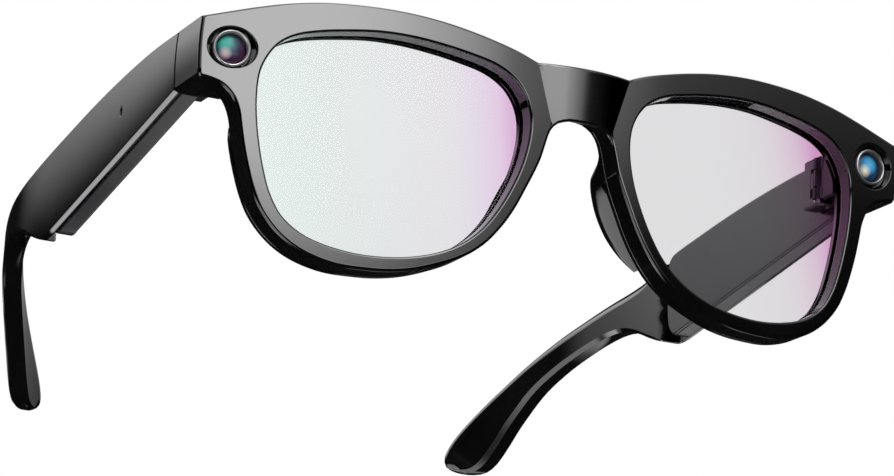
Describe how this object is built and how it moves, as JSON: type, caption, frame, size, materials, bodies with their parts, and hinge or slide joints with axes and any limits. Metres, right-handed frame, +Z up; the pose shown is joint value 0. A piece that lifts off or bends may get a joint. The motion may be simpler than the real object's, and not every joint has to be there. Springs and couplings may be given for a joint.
{
  "type": "camera smart glasses",
  "caption": "Smart glasses with a glossy black full-rim front, a camera on each end-piece, clear lenses and thick folding temples that end in slim ear hooks.",
  "frame": {"origin": "centre of the bounding box seen from above, at the level of the table it rests on", "axes": "+X to the wearer's left, +Y from the front face back along the open temples, +Z up"},
  "size_m": [0.146, 0.1658, 0.05],
  "materials": {
    "front_black": "gloss",
    "cover_black": "gloss",
    "clear_lens": "polished with a pink and purple edge tint",
    "ring_grey": "satin",
    "camera_glass": "coated",
    "inner_black": "matte",
    "hinge_dark": "satin",
    "pin_steel": "satin",
    "temple_black": "gloss",
    "board_green": "matte",
    "battery_foil": "satin",
    "microphone_metal": "satin",
    "button_black": "gloss"
  },
  "bodies": {
    "front": {"front_frame": "front_black", "rear_cover": "cover_black", "lens_right": "clear_lens", "lens_left": "clear_lens", "camera_ring_right": "ring_grey", "camera_ring_left": "ring_grey", "camera_window_right": "camera_glass", "camera_window_left": "camera_glass", "camera_module_right": "inner_black", "camera_module_left": "inner_black", "endpiece_cap_right": "inner_black", "endpiece_cap_left": "inner_black", "hinge_bracket_right": "hinge_dark", "hinge_bracket_left": "hinge_dark", "hinge_pin_right": "pin_steel", "hinge_pin_left": "pin_steel"},
    "temple_right": {"temple_shell_right": "temple_black", "temple_cover_right": "temple_black", "main_board_right": "board_green", "speaker_right": "inner_black", "microphone_right": "microphone_metal", "hinge_leaf_right": "hinge_dark"},
    "button": {"capture_button": "button_black"},
    "temple_left": {"temple_shell_left": "temple_black", "temple_cover_left": "temple_black", "battery_left": "battery_foil", "touch_board_left": "board_green", "speaker_left": "inner_black", "hinge_leaf_left": "hinge_dark"}
  },
  "joints": [
    {"name": "temple_right_fold", "type": "hinge", "parent": "front", "child": "temple_right", "pos_m": [-0.0628, -0.05877, 0.0385], "axis": [0, 0, -1], "range_deg": [0, 78]},
    {"name": "temple_left_fold", "type": "hinge", "parent": "front", "child": "temple_left", "pos_m": [0.0628, -0.05877, 0.0385], "axis": [0, 0, 1], "range_deg": [0, 90]},
    {"name": "capture_button_press", "type": "slide", "parent": "temple_right", "child": "button", "axis": [0, 0, -1], "range_m": [0, 0.0005], "stiffness_N_per_m": 600, "springref_m": -0.0002}
  ]
}
